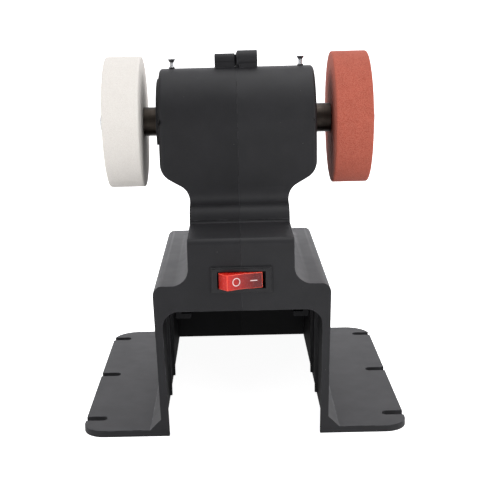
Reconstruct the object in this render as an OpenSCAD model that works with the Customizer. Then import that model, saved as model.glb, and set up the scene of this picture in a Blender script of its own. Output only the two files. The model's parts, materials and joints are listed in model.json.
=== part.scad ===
// Cordless mini bench grinder: two moulded housing halves around a double-ended
// motor, with a wheel on each end and a bay for a slide battery pack under the neck.
// X runs along the spindle, -Y is the switch side and Z is up from the bench.

/* [Stance] */
// Depth of the base, from the switch face to the rear edge
base_depth = 176; // [160:1:200]
// Width across both foot plates
foot_span = 174; // [150:1:200]
// Height of the spindle axis above the bench
spindle_height = 158.5; // [150:0.5:185]
// Distance of the spindle axis behind the switch face
spindle_setback = 88.5; // [84:0.5:96]

/* [Base block] */
// Width of the block at its top
block_top_width = 92.6; // [90:0.1:98]
// Width of the block at the bench
block_floor_width = 88.6; // [86:0.1:92]
// Height of the block's flat top
block_height = 82.7; // [80:0.1:92]
// Depth of the block's flat top, from the switch face
block_top_depth = 142.5; // [128:0.5:150]
// Wall thickness of the moulding
wall = 2.5; // [2:0.1:3]
// Thickness of the side walls where they meet the bench
floor_wall = 1.3; // [1.2:0.1:2.5]
// Width of the lip round the battery bay's mouth
mouth_lip = 4.3; // [3.5:0.1:5]
// Height of the bay's mouth
mouth_height = 68.8; // [66:0.1:69]
// Radius in the mouth's upper corners
mouth_corner = 8.2; // [4:0.1:12]
// Radius on the block's top side edges
block_round = 5; // [2:0.5:7]
// Radius on the block's rear top edge
block_rear_round = 4; // [4:0.5:14]

/* [Feet] */
// Thickness of the foot plates
foot_thickness = 3.7; // [3:0.1:5]
// Radius of the foot plates' front corners
foot_corner = 12; // [6:0.5:16]
// Radius of the foot plates' rear corners
foot_rear_corner = 16; // [6:0.5:18]
// Size of the chamfer between the block and the foot plates
foot_chamfer = 6; // [3:0.5:8]
// Width of a screw slot
slot_width = 5.5; // [4.5:0.1:7]
// Length of a screw slot, from the edge to its round end
slot_length = 11.7; // [8:0.1:16]
// Front slot's distance from the front edge
slot_front = 18; // [15:0.5:30]
// Rear slot's distance from the rear edge
slot_rear = 15.5; // [15:0.5:30]

/* [Neck] */
// Width of the neck and of the switch panel
neck_width = 55; // [50:0.5:60]
// Height of the switch panel's top edge
panel_height = 107; // [104:0.5:110]
// Radius on the panel's top edge
panel_round = 3; // [1:0.5:5]
// Height of the neck's own shoulder
neck_height = 115.8; // [113:0.1:118]
// Distance of the neck's front behind the switch face
neck_setback = 41.5; // [30:0.5:46]
// Radius on the neck's front top edge
neck_round = 8; // [3:0.5:9]
// Radius where the neck runs into the block's top
root_round = 9; // [4:0.5:12]
// Radius where the motor housing's face meets the neck's shoulder
shelf_round = 9; // [4:0.5:12]

/* [Motor housing] */
// Radius of the motor housing
housing_radius = 30; // [28.5:0.5:34]
// Length of the motor housing
housing_length = 88; // [86:0.5:96]
// Rounding on the housing's ends
housing_edge = 2; // [0.5:0.5:3]
// How far below the axis the housing's sides start to turn in
shoulder_drop = 20.7; // [18:0.1:24]
// Radius of the outward bend below the housing
shoulder_round = 11; // [8:0.5:13]
// Radius of the inward bend above the neck
throat_round = 10; // [7:0.5:12]
// Slope between the two bends, from the vertical
shoulder_slope = 60; // [50:1:70]
// Radius of the hole that each coupler turns in
end_hole_radius = 9.5; // [9.2:0.1:11]
// Radius of the raised pad on the left end
pad_radius = 24.5; // [16:0.5:26]
// Thickness of the raised pad
pad_thickness = 1.5; // [0.5:0.1:2]

/* [Motor] */
// Radius of the motor can
motor_radius = 23; // [21:0.5:24]
// Wall of the motor can
can_wall = 1.6; // [1:0.1:2]
// Length of the motor can
motor_length = 58; // [54:1:60]
// Radius of the motor shaft
shaft_radius = 3; // [2.5:0.1:3.5]
// Length of the motor shaft
shaft_length = 104; // [98:1:108]
// Radius of the armature's iron core
core_radius = 16.5; // [14:0.5:17]
// Length of the armature's iron core
core_length = 34; // [28:1:36]
// Number of armature slots
core_slots = 5; // [3:1:7]
// Outer radius of a bearing
bearing_radius = 9.5; // [8.5:0.1:10]
// Width of a bearing
bearing_width = 6; // [5:0.5:6]

/* [Wheels] */
// Radius of both wheels
wheel_radius = 37.5; // [30:0.5:45]
// Thickness of both wheels
wheel_thickness = 20.5; // [12:0.5:25]
// Distance between the wheels' inner faces
wheel_gap = 108; // [106:0.5:116]
// Rounding on the wheels' rims
wheel_edge = 0.8; // [0.2:0.1:2]
// Radius of the wheels' bore
wheel_bore = 5; // [4.5:0.1:6]
// Radius of a coupler's body
coupler_radius = 8.3; // [7:0.1:8.5]

/* [Switch] */
// Height of the switch's centre
switch_height = 85.6; // [84:0.1:94]
// Length of the switch's bezel
bezel_length = 31.5; // [29:0.5:36]
// Height of the switch's bezel
bezel_height = 13.6; // [12.5:0.1:16]
// Thickness of the switch's bezel
bezel_thickness = 1.8; // [1.2:0.1:2.5]
// Swing radius of the rocker's ends
rocker_radius = 12; // [11.5:0.1:12.2]
// Height of the rocker's face
rocker_height = 8.2; // [7:0.1:8.6]
// Distance of the rocker's crests from its pivot
crest_radius = 11; // [10:0.1:11.4]
// Angle of the rocker's crests from its middle
rocker_crest = 60; // [50:1:64]
// Tilt of the rocker to each side of its middle
rocker_tilt = 18; // [10:1:18]
// Depth of the rocker's pivot behind the panel
pivot_depth = 0.5; // [0.5:0.5:2]

/* [Battery slide] */
// Thickness of the slide plate
plate_thickness = 2.5; // [2:0.1:3]
// Outer distance across the two rails
rail_span = 70; // [60:0.5:74]
// Height of a rail
rail_height = 6.3; // [5:0.1:8]
// Inward reach of a rail's hook
rail_reach = 8; // [5:0.5:10]
// Length of the rails
rail_length = 96; // [80:1:100]

/* [Fits] */
// Radial clearance of a running fit
running_fit = 0.05; // [0.02:0.01:0.1]
// Clearance between pieces that are clamped or slid together
assembly_fit = 0.1; // [0.05:0.05:0.2]

/* [Hidden] */
$fn = 96;

// Places of the main faces
rocker_proud = crest_radius * cos(rocker_crest - rocker_tilt) - pivot_depth;
front_y = -(base_depth - rocker_proud) / 2;
rear_y = front_y + base_depth;
spindle_y = front_y + spindle_setback;
neck_front_y = front_y + neck_setback;
body_rear_y = spindle_y + housing_radius;
housing_half = housing_length / 2;
neck_half = neck_width / 2;
top_half = block_top_width / 2;
floor_half = block_floor_width / 2;
side_lean = (top_half - floor_half) / block_height;
bay_lean = (top_half - wall - floor_half + floor_wall) / block_height;
rear_lean = atan((base_depth - block_top_depth) / block_height);
skim = 0.02;

// Centres of the two bends below the motor housing
bend_x = housing_half - shoulder_round;
bend_z = spindle_height - shoulder_drop;
throat_x = neck_half + throat_round;
slope_run = bend_x + shoulder_round * cos(shoulder_slope) - (throat_x - throat_round * cos(shoulder_slope));
throat_z = bend_z - (shoulder_round + throat_round) * sin(shoulder_slope) - slope_run / tan(shoulder_slope);

// Motor and spindle places
motor_half = motor_length / 2;
cap_plate = 2.5;
hub_wall = 2.5;
hub_lip = 1;
bearing_inner_x = motor_half + 1.5;
bearing_outer_x = bearing_inner_x + bearing_width;
hub_end_x = bearing_outer_x + hub_lip;
cradle_x = 19;
cradle_width = 2.5;
motor_stop_radius = 20;
ledge_round = 1.5;
coupler_start = hub_end_x + 1.5;
wheel_inner_x = wheel_gap / 2;
wheel_outer_x = wheel_inner_x + wheel_thickness;
spigot_end_x = wheel_outer_x - 0.5;
washer_thickness = 1.5;
washer_radius = 10;
washer_outer_x = wheel_outer_x + washer_thickness;
clamp_radius = 2.5;
clamp_length = 15;
clamp_head_radius = 5;
clamp_head_height = 3.2;
clamp_end_x = washer_outer_x + clamp_head_height;
clamp_reach = 13;
key_radius = 2.3;
key_depth = 1.6;
slip_fit = 0.03;
grub_radius = 1.5;
grub_sink = 0.4;
grub_x = (housing_half + wheel_inner_x) / 2;
grub_angle = 60;
winding_x = core_length / 2 + 0.3;
winding_end = 4.6;
commutator_radius = 6;
commutator_x = winding_x + winding_end + 0.3;
commutator_length = 6.6;
brush_gap = 0.3;
brush_size = 4;
brush_length = 6;
motor_tab_y = 16.5;
lead_room = 3;
motor_tab_length = housing_half - wall - lead_room - motor_half - cap_plate;
holder_wall = 0.8;
magnet_thickness = 4.1;
magnet_angle = 130;
magnet_length = 40;

// Flat below the raised pad on the left end
pad_drop = end_hole_radius + 1.5;

// Two screws that stand on top of the motor housing
top_screw_x = housing_half - 7.2;
top_screw_radius = 1.2;
top_screw_head = 2.1;
top_screw_head_height = 1.7;
top_screw_proud = 5.3;
top_screw_boss = 3;
top_screw_cone = 1.4;
top_screw_bump = 1.7;
top_screw_bump_height = 0.8;
top_screw_depth = 8;

// Switch places
switch_y = front_y + pivot_depth;
cutout_length = bezel_length - 4;
cutout_height = bezel_height - 2;
switch_depth = 18;
cavity_half = rocker_radius + 0.4;
cavity_depth = 9;
rocker_skirt = 2;
rocker_dip = 1.1;
pin_radius = 1.3;
pin_length = 0.9;
window_height = rocker_height + 0.8;
tab_length = 7;
tab_width = 4.8;
tab_thickness = 0.8;

// Half clamshell screws and where they sit, as [y, z]
screw_radius = 1.5;
screw_head_radius = 2.8;
screw_head_height = 2.2;
screw_seat = 8;
screw_reach = 11;
boss_radius = 3.5;
head_boss_radius = 4.4;
counterbore_radius = 3.1;
boss_margin = 9;
top_boss_rise = 4.3;
top_boss_radius = 5;
top_pilot_radius = 3.4;
top_boss_half = 12.2;
top_boss_taper = 0.9;
top_boss_gap = 0.7;
top_boss_z = spindle_height + housing_radius + top_boss_rise;
function neck_bottom(t) = t > 0 ? block_height - wall - 1 : block_height - wall / 2;
function rear_wall_y(z) = rear_y - z * tan(rear_lean);
function side_wall_x(z) = floor_half + side_lean * z;
function bay_wall_x(z) = floor_half - floor_wall + bay_lean * z;
low_boss_z = 32;
high_boss_z = 60;
panel_boss_y = front_y + switch_depth + tab_length + 1 + head_boss_radius;
inner_bosses = [
    [panel_boss_y, panel_height - boss_margin, neck_half - wall / 2],
    [body_rear_y - boss_margin, block_height + boss_margin, neck_half - wall / 2],
    [neck_front_y + boss_margin, neck_height - boss_margin, neck_half - wall / 2],
    [rear_wall_y(low_boss_z) - boss_margin, low_boss_z, side_wall_x(low_boss_z) - wall / 2],
    [rear_wall_y(high_boss_z) - boss_margin, high_boss_z, side_wall_x(high_boss_z) - wall / 2]
];

// Battery slide places
plate_z = mouth_height + 0.4;
plate_gap = 0.3;
plate_front_y = front_y + wall + plate_gap;
plate_rear_y = rear_wall_y(plate_z + plate_thickness) - wall / cos(rear_lean) - plate_gap;
plate_length = plate_rear_y - plate_front_y;
plate_half = bay_wall_x(plate_z) - plate_gap;
shelf_depth = 2.4;
shelf_height = 2;
rail_web = 3;
rail_hook = 2.8;
rail_front_y = front_y + 8;
block_length = 20;
block_width = 30;
block_drop = 9;
contact_y = rail_front_y + rail_length - block_length;
blade_length = 14;
blade_height = 6;
blade_lift = 1.5;
blade_tail = 4;
blade_thickness = 1;
blade_spread = 10;
rib_proud = 1.6;
rib_width = 2;

// Turns a profile drawn in width and height into a bar along the depth
module along_depth(from, to) {
    translate([0, to, 0])
        rotate([90, 0, 0])
            linear_extrude(to - from) children();
}

// Turns a profile drawn in depth and height into a bar along the spindle
module along_spindle(from, to) {
    translate([from, 0, 0])
        rotate([90, 0, 90])
            linear_extrude(to - from) children();
}

// Turns a profile drawn in radius and length round the spindle axis
module round_spindle() {
    translate([0, spindle_y, spindle_height])
        rotate([0, 90, 0])
            rotate_extrude() children();
}

// Fills an inside corner with a concave radius
module cove(radius) {
    difference() {
        translate([-0.5, -0.5]) square(radius + 0.5);
        translate([radius - skim, radius - skim]) circle(radius);
    }
}

// Right half of the block from the front, with a rounded top edge
module block_front_outside() {
    lean = atan(side_lean);
    centre_z = block_height - block_round;
    centre_x = floor_half + side_lean * centre_z - block_round / cos(lean);
    polygon([
        [0, 0],
        [floor_half, 0],
        [centre_x + block_round * cos(lean), centre_z - block_round * sin(lean)],
        [centre_x, centre_z],
        [centre_x, block_height],
        [0, block_height]
    ]);
    translate([centre_x, centre_z]) circle(block_round);
}

// Right half of the block's hollow from the front, with a flat across its top edge
module block_front_inside() {
    top = block_height - wall;
    flat = block_round / 2;
    polygon([
        [-1, -1],
        [bay_wall_x(-1), -1],
        [bay_wall_x(top - flat), top - flat],
        [bay_wall_x(top) - flat, top],
        [-1, top]
    ]);
}

// Block's sloped back from the side, inset by t and open at the front and below, with
// its top edge rounded in four flats
module block_side_profile(t) {
    radius = max(block_rear_round - t, 0.5);
    top = block_height - t;
    centre_z = top - radius;
    centre_y = rear_wall_y(centre_z) - (t + radius) / cos(rear_lean);
    flats = 4;
    polygon(concat(
        [
            [front_y - 1, -2],
            [rear_wall_y(-2) - t / cos(rear_lean), -2]
        ],
        [
            for (step = [0 : flats])
                let (turn = rear_lean + (90 - rear_lean) * step / flats)
                    [centre_y + radius * cos(turn), centre_z + radius * sin(turn)]
        ],
        [
            [centre_y, top + 5],
            [front_y - 1, top + 5]
        ]
    ));
}

// Right half of the block
module block_half_outside() {
    intersection() {
        along_depth(front_y, rear_y + 2) block_front_outside();
        along_spindle(-1, top_half + 5) block_side_profile(0);
    }
}

// Right half of the battery bay and the space over it
module block_half_inside() {
    intersection() {
        along_depth(front_y + wall, rear_y + 2) block_front_inside();
        along_spindle(-2, top_half + 5) block_side_profile(wall);
    }
}

// Box in depth and height with a rounded front top edge
module step_profile(y0, y1, z0, z1, radius) {
    difference() {
        translate([y0, z0]) square([y1 - y0, z1 - z0]);
        translate([y0 - 1, z1 - radius]) square([radius + 1, radius + 1]);
    }
    translate([y0 + radius, z1 - radius]) circle(radius);
}

// Right half of the switch panel and the neck's front step, inset by t
module trunk_half(t, x0) {
    bottom = neck_bottom(t);
    rear = spindle_y - housing_radius + wall + 1;
    panel_r = max(panel_round - t, 0.5);
    neck_r = max(neck_round - t, 0.5);
    along_spindle(x0, neck_half - t) {
        step_profile(front_y + t, rear, bottom, panel_height - t, panel_r);
        step_profile(neck_front_y + t, rear, bottom, neck_height - t, neck_r);
        if (t == 0)
            translate([neck_front_y, panel_height]) mirror([1, 0]) cove(ledge_round);
    }
}

// Right half of the neck and the shoulders over it, from the front, inset by t
module shoulder_profile(t, x0) {
    bend_r = shoulder_round - t;
    throat_r = throat_round + t;
    centre_x = bend_x + skim;
    difference() {
        union() {
            translate([x0, bend_z]) square([housing_half + 10 - x0, housing_radius + 30]);
            polygon([
                [x0, neck_bottom(t)],
                [neck_half - t, neck_bottom(t)],
                [neck_half - t, throat_z],
                [throat_x - throat_r * cos(shoulder_slope), throat_z + throat_r * sin(shoulder_slope)],
                [centre_x + bend_r * cos(shoulder_slope), bend_z - bend_r * sin(shoulder_slope)],
                [centre_x + bend_r, bend_z],
                [centre_x, bend_z + 1],
                [x0, bend_z + 1]
            ]);
            translate([centre_x, bend_z]) circle(bend_r);
        }
        translate([throat_x, throat_z]) circle(throat_r);
    }
}

// Right half of the motor housing and neck, with rounded end edges
module head_half_outside() {
    flat = housing_half - housing_edge;
    inner_r = housing_radius - housing_edge;
    bottom = neck_bottom(0);
    intersection() {
        along_depth(spindle_y - 50, spindle_y + 50) shoulder_profile(0, 0);
        union() {
            round_spindle() {
                square([housing_radius, flat]);
                square([inner_r, housing_half]);
                translate([inner_r, flat]) circle(housing_edge);
            }
            translate([0, spindle_y, bottom - 1])
                linear_extrude(spindle_height - bottom + 1) {
                    translate([0, -housing_radius]) square([flat, 2 * housing_radius]);
                    translate([0, -inner_r]) square([housing_half, 2 * inner_r]);
                    for (face = [-1, 1])
                        translate([flat, face * inner_r]) circle(housing_edge);
                }
            along_spindle(0, housing_half + 5)
                translate([spindle_y - housing_radius, neck_height]) mirror([1, 0]) cove(shelf_round);
        }
    }
}

// Right half of the hollow inside the motor housing and neck
module head_half_inside() {
    radius = housing_radius - wall;
    bottom = neck_bottom(wall) - 1;
    intersection() {
        along_depth(spindle_y - 50, spindle_y + 50) shoulder_profile(wall, -1);
        along_spindle(-2, housing_half - wall) {
            translate([spindle_y, spindle_height]) circle(radius);
            translate([spindle_y - radius + skim, bottom])
                square([2 * (radius - skim), spindle_height - bottom]);
        }
    }
}

// Concave radii where the right half of the neck runs into the block's top
module root_coves() {
    low = block_height - wall / 2;
    high = root_round + wall / 2 - skim;
    intersection() {
        along_depth(front_y, body_rear_y + 2 * root_round) {
            translate([0, low]) square([neck_half - 0.3, high]);
            translate([neck_half, block_height]) cove(root_round);
        }
        along_spindle(-1, neck_half + 2 * root_round) {
            translate([front_y - 1, low]) square([body_rear_y - front_y + 0.7, high]);
            translate([body_rear_y, block_height]) cove(root_round - 1);
        }
    }
}

// Mouth of the battery bay in the right half, through the front wall
module bay_mouth() {
    radius = mouth_corner;
    lean = atan(side_lean);
    centre_z = mouth_height - radius;
    centre_x = floor_half + side_lean * centre_z - (mouth_lip + radius) / cos(lean);
    along_depth(front_y - 1, front_y + wall + 0.5) {
        polygon([
            [-1, -1],
            [floor_half - side_lean - mouth_lip / cos(lean), -1],
            [centre_x + radius * cos(lean), centre_z - radius * sin(lean)],
            [centre_x, centre_z],
            [centre_x, mouth_height],
            [-1, mouth_height]
        ]);
        translate([centre_x, centre_z]) circle(radius);
    }
}

// Right foot plate with rounded outer corners and open screw slots
module foot_plate() {
    slots_y = [front_y + slot_front, (front_y + slot_front + rear_y - slot_rear) / 2, rear_y - slot_rear];
    half = foot_span / 2;
    inner = floor_half - 1;
    reach = half - slot_length + slot_width / 2;
    linear_extrude(foot_thickness)
        difference() {
            union() {
                translate([inner, front_y]) square([half - foot_corner - inner, base_depth / 2]);
                translate([inner, rear_y - base_depth / 2])
                    square([half - foot_rear_corner - inner, base_depth / 2]);
                translate([inner, front_y + foot_corner])
                    square([half - inner, base_depth - foot_corner - foot_rear_corner]);
                translate([half - foot_corner, front_y + foot_corner]) circle(foot_corner);
                translate([half - foot_rear_corner, rear_y - foot_rear_corner]) circle(foot_rear_corner);
            }
            for (y = slots_y) {
                translate([reach, y]) circle(slot_width / 2);
                translate([reach, y - slot_width / 2]) square([slot_length, slot_width]);
            }
        }
}

// Chamfer that stiffens the joint of the block and the right foot plate
module foot_gusset() {
    low = foot_thickness;
    side = side_wall_x(low);
    intersection() {
        along_depth(front_y, rear_y)
            polygon([
                [side - 1, low - 1],
                [side + foot_chamfer + 1, low - 1],
                [side, low + foot_chamfer],
                [side - 1, low + foot_chamfer]
            ]);
        along_spindle(side - 2, side + 20) block_side_profile(0);
    }
}

// Walls of the right half, before its bosses and holes
module half_walls() {
    difference() {
        union() {
            block_half_outside();
            trunk_half(0, 0);
            head_half_outside();
            root_coves();
            foot_plate();
            foot_gusset();
        }
        block_half_inside();
        trunk_half(wall, -1);
        head_half_inside();
        bay_mouth();
    }
}

// What is added inside the right half
module half_ribs() {
    shelf_z = plate_z - shelf_height;
    inner_x = bay_wall_x(plate_z);
    root_x = floor_half - 0.4;
    rib_x = bay_wall_x(0) - rib_proud;
    ring_r = motor_radius + assembly_fit;
    stop_x = motor_half + cap_plate + 0.2;
    // Shelf that the slide plate rests on
    translate([inner_x - shelf_depth, plate_front_y - 0.4, shelf_z])
        cube([shelf_depth + wall / 2, plate_length, shelf_height]);
    // Ribs that keep the slide plate on its shelf
    for (y = [front_y + 40, front_y + 110])
        translate([rail_span / 2 - 1, y, plate_z + plate_thickness + assembly_fit])
            cube([wall, 6, block_height - wall - plate_z - plate_thickness - assembly_fit + 0.5]);
    // Ribs on the bay's side wall
    for (y = [spindle_y - 36, spindle_y - 2])
        translate([rib_x, y, 3])
            cube([root_x - rib_x, rib_width, shelf_z - 2]);
    // Cradle rib round the motor can, and a stop for its end cap
    round_spindle() {
        translate([ring_r, cradle_x]) square([housing_radius - wall + 0.4 - ring_r, cradle_width]);
        translate([motor_stop_radius, stop_x])
            square([housing_radius - wall + 0.4 - motor_stop_radius, cradle_width]);
    }
    // Boss under the top screw, and the small ring round it
    translate([top_screw_x, spindle_y, spindle_height + housing_radius - top_screw_depth])
        cylinder(r = top_screw_boss, h = top_screw_depth - wall / 2);
    translate([top_screw_x, spindle_y, spindle_height + housing_radius - wall / 2])
        cylinder(r = top_screw_bump, h = wall / 2 + top_screw_bump_height);
}

// Clamshell screw bosses on the side given as -1 or 1
module half_bosses(side) {
    radius = side < 0 ? boss_radius : head_boss_radius;
    for (place = inner_bosses)
        translate([0, place[0], place[1]])
            rotate([0, side * 90, 0]) cylinder(r = radius, h = place[2]);
}

// Screw boss along the top of the motor housing, on the side given as -1 or 1
module top_boss(side) {
    root = spindle_height + housing_radius - wall / 2;
    radius = side < 0 ? top_pilot_radius : top_boss_radius;
    start = side < 0 ? top_boss_gap : top_boss_taper;
    translate([0, spindle_y, top_boss_z])
        rotate([0, side * 90, 0]) {
            translate([0, 0, start]) cylinder(r = radius, h = top_boss_half - start);
            if (side > 0)
                cylinder(r1 = top_pilot_radius, r2 = radius, h = start);
        }
    foot = side < 0 ? top_boss_gap : 0;
    translate([side < 0 ? -top_boss_half : 0, spindle_y - top_pilot_radius + 0.4, root])
        cube([top_boss_half - foot, 2 * top_pilot_radius - 0.8, top_boss_rise + wall / 2]);
    if (side > 0)
        translate([start + 1, spindle_y - radius + 0.6, root])
            cube([top_boss_half - start - 1, 2 * radius - 1.2, top_boss_rise + wall / 2]);
}

// Pilot holes in the left half, or seats with head pockets in the right half
module clamshell_holes(side) {
    places = concat(
        [for (place = inner_bosses) [place[0], place[1], top_half]],
        [[spindle_y, top_boss_z, top_boss_half + 1.4]]
    );
    for (place = places)
        translate([0, place[0], place[1]])
            rotate([0, side * 90, 0])
                if (side < 0) {
                    translate([0, 0, -1]) cylinder(r = screw_radius + assembly_fit, h = screw_reach + 2);
                } else {
                    translate([0, 0, -1]) cylinder(r = screw_radius + 0.2, h = screw_seat + 2);
                    translate([0, 0, screw_seat]) cylinder(r = counterbore_radius, h = place[2]);
                }
}

// Holes that both halves have, drawn on the right
module half_holes() {
    translate([housing_half - wall - 1, spindle_y, spindle_height])
        rotate([0, 90, 0]) cylinder(r = end_hole_radius, h = wall + pad_thickness + 2);
    translate([top_screw_x, spindle_y, spindle_height + housing_radius - top_screw_depth - 1])
        cylinder(r = top_screw_radius + assembly_fit, h = top_screw_depth + 4);
    translate([-1, front_y - 1, switch_height - cutout_height / 2 - assembly_fit])
        cube([1 + cutout_length / 2 + assembly_fit, wall + 2, cutout_height + 2 * assembly_fit]);
}

// Raised pad round the coupler's hole on the left end, with a flat below the hole
module end_pad() {
    along_spindle(-housing_half - pad_thickness, -housing_half + wall / 2)
        difference() {
            translate([spindle_y, spindle_height]) circle(pad_radius);
            translate([spindle_y - pad_radius - 1, spindle_height - pad_radius - 1])
                square([2 * pad_radius + 2, pad_radius + 1 - pad_drop]);
        }
}

module left_housing_shell() {
    color([0.12, 0.12, 0.13])
        difference() {
            union() {
                mirror([1, 0, 0]) half_walls();
                mirror([1, 0, 0]) half_ribs();
                half_bosses(-1);
                top_boss(-1);
                end_pad();
            }
            mirror([1, 0, 0]) half_holes();
            clamshell_holes(-1);
        }
}

module right_housing_shell() {
    color([0.12, 0.12, 0.13])
        difference() {
            union() {
                half_walls();
                half_ribs();
                half_bosses(1);
                top_boss(1);
            }
            half_holes();
            clamshell_holes(1);
        }
}

// Screw along the spindle's direction, seated at the given place
module clamshell_screw(place) {
    translate([0, place[0], place[1]])
        rotate([0, 90, 0])
            difference() {
                union() {
                    translate([0, 0, -screw_reach]) cylinder(r = screw_radius, h = screw_reach + screw_seat);
                    translate([0, 0, screw_seat]) cylinder(r = screw_head_radius, h = screw_head_height);
                }
                for (turn = [0, 90])
                    translate([0, 0, screw_seat + screw_head_height])
                        rotate([0, 0, turn]) cube([3, 0.7, 2], center = true);
            }
}

module housing_screws() {
    color([0.2, 0.2, 0.2]) {
        for (place = inner_bosses)
            clamshell_screw(place);
        clamshell_screw([spindle_y, top_boss_z]);
    }
}

module top_screws() {
    top = spindle_height + housing_radius + top_screw_proud;
    color([0.75, 0.75, 0.76])
        for (side = [-1, 1])
            translate([side * top_screw_x, spindle_y, 0])
                difference() {
                    union() {
                        translate([0, 0, top - top_screw_proud - top_screw_depth + 0.5])
                            cylinder(r = top_screw_radius, h = top_screw_depth + top_screw_proud - 1);
                        translate([0, 0, top - top_screw_head_height])
                            cylinder(r1 = top_screw_radius, r2 = top_screw_head, h = top_screw_cone);
                        translate([0, 0, top - top_screw_head_height + top_screw_cone])
                            cylinder(r = top_screw_head, h = top_screw_head_height - top_screw_cone);
                    }
                    for (turn = [0, 90])
                        translate([0, 0, top]) rotate([0, 0, turn]) cube([2.2, 0.5, 1.4], center = true);
                }
}

module motor_can() {
    color([0.6, 0.6, 0.62])
        round_spindle()
            translate([motor_radius - can_wall, -motor_half]) square([can_wall, motor_length]);
}

module field_magnets() {
    outer = motor_radius - can_wall;
    color([0.25, 0.25, 0.27])
        translate([0, spindle_y, spindle_height])
            rotate([0, 90, 0])
                for (turn = [0, 180])
                    rotate([0, 0, turn + 90 - magnet_angle / 2])
                        rotate_extrude(angle = magnet_angle)
                            translate([outer - magnet_thickness, -magnet_length / 2])
                                square([magnet_thickness, magnet_length]);
}

// End cap of the motor on the side given as -1 or 1, with its bearing hub
module end_cap(side) {
    hub = bearing_radius + hub_wall;
    difference() {
        round_spindle()
            mirror([0, side > 0 ? 0 : 1])
                difference() {
                    union() {
                        translate([0, motor_half]) square([motor_radius, cap_plate]);
                        translate([0, motor_half]) square([hub, hub_end_x - motor_half]);
                    }
                    translate([0, motor_half - 1])
                        square([bearing_radius + running_fit, bearing_outer_x - motor_half + 1]);
                    square([shaft_radius + 1, hub_end_x + 1]);
                }
        for (turn = [0 : 90 : 270])
            translate([side * (motor_half - 1), spindle_y, spindle_height])
                rotate([turn + 45, 0, 0])
                    translate([0, 0, (hub + motor_radius) / 2])
                        rotate([0, side * 90, 0]) cylinder(r = 2, h = cap_plate + 2);
    }
}

module left_end_cap() {
    color([0.3, 0.3, 0.3]) end_cap(-1);
}

module right_end_cap() {
    color([0.3, 0.3, 0.3]) end_cap(1);
}

// Shielded ball bearing, from the shaft to the hub
module bearing(side) {
    inner = shaft_radius + running_fit;
    ring = 1.4;
    dish = 0.5;
    round_spindle()
        mirror([0, side > 0 ? 0 : 1])
            translate([0, bearing_inner_x])
                difference() {
                    translate([inner, 0]) square([bearing_radius - inner, bearing_width]);
                    for (z = [-1, bearing_width - dish])
                        translate([inner + ring, z]) square([bearing_radius - inner - 2 * ring, dish + 1]);
                }
}

module left_bearing() {
    color([0.8, 0.8, 0.82]) bearing(-1);
}

module right_bearing() {
    color([0.8, 0.8, 0.82]) bearing(1);
}

// Places a child at each brush, pointing out from the commutator
module at_brushes() {
    for (turn = [0, 180])
        translate([motor_half, spindle_y, spindle_height])
            rotate([turn, 0, 0])
                translate([0, commutator_radius + brush_gap, 0]) children();
}

module brush_holders() {
    outer = brush_size + 2 * holder_wall;
    width = motor_half - commutator_x;
    color([0.8, 0.65, 0.3])
        at_brushes()
            difference() {
                translate([-width + 0.6, 0.8, -outer / 2]) cube([width - 0.6, brush_length + 1, outer]);
                translate([-brush_size / 2 - width / 2, -1, -brush_size / 2 - assembly_fit])
                    cube([brush_size + 2 * assembly_fit, brush_length + 4, brush_size + 2 * assembly_fit]);
            }
}

module carbon_brushes() {
    width = motor_half - commutator_x;
    color([0.15, 0.15, 0.15])
        at_brushes()
            translate([-brush_size / 2 - width / 2 + assembly_fit, 0, -brush_size / 2])
                cube([brush_size, brush_length, brush_size]);
}

module motor_tabs() {
    color([0.8, 0.65, 0.3])
        translate([motor_half + cap_plate, spindle_y, spindle_height])
            for (side = [-1, 1])
                translate([0, side * motor_tab_y - tab_thickness / 2, -tab_width / 2])
                    cube([motor_tab_length, tab_thickness, tab_width]);
}

module spindle_shaft() {
    color([0.7, 0.7, 0.72])
        round_spindle()
            difference() {
                translate([0, -shaft_length / 2]) square([shaft_radius, shaft_length]);
                for (side = [-1, 1])
                    translate([shaft_radius, side * shaft_length / 2]) rotate(45) square(0.8, center = true);
            }
}

// Slot pattern of the armature, drawn round its axis
module slot_pattern(pocket) {
    for (turn = [0 : 360 / core_slots : 359])
        rotate(turn)
            translate([core_radius * 0.68, 0]) circle(pocket);
}

module armature_core() {
    color([0.5, 0.5, 0.52])
        translate([-core_length / 2, spindle_y, spindle_height])
            rotate([90, 0, 90])
                linear_extrude(core_length)
                    difference() {
                        circle(core_radius);
                        circle(shaft_radius + 0.02);
                        slot_pattern(core_radius * 0.22);
                        for (turn = [0 : 360 / core_slots : 359])
                            rotate(turn) translate([core_radius * 0.68, -0.8]) square([core_radius, 1.6]);
                    }
}

module armature_winding() {
    pocket = core_radius * 0.22 - 0.15;
    middle = core_radius * 0.68;
    color([0.72, 0.38, 0.18]) {
        translate([-winding_x - 0.5, spindle_y, spindle_height])
            rotate([90, 0, 90])
                linear_extrude(2 * winding_x + 1) slot_pattern(pocket);
        for (side = [-1, 1])
            round_spindle()
                translate([middle, side * (winding_x + winding_end / 2)])
                    union() {
                        square([2 * pocket - 2, winding_end], center = true);
                        square([2 * pocket, winding_end - 2], center = true);
                        for (u = [-1, 1], v = [-1, 1])
                            translate([u * (pocket - 1), v * (winding_end / 2 - 1)]) circle(1);
                    }
    }
}

module commutator() {
    color([0.75, 0.45, 0.25])
        difference() {
            round_spindle()
                translate([shaft_radius + 0.02, commutator_x])
                    square([commutator_radius - shaft_radius - 0.02, commutator_length]);
            for (turn = [0 : 360 / core_slots : 359])
                translate([commutator_x - 1, spindle_y, spindle_height])
                    rotate([turn, 0, 0])
                        translate([0, -0.25, commutator_radius - 0.8]) cube([commutator_length + 2, 0.5, 2]);
        }
}

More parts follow.
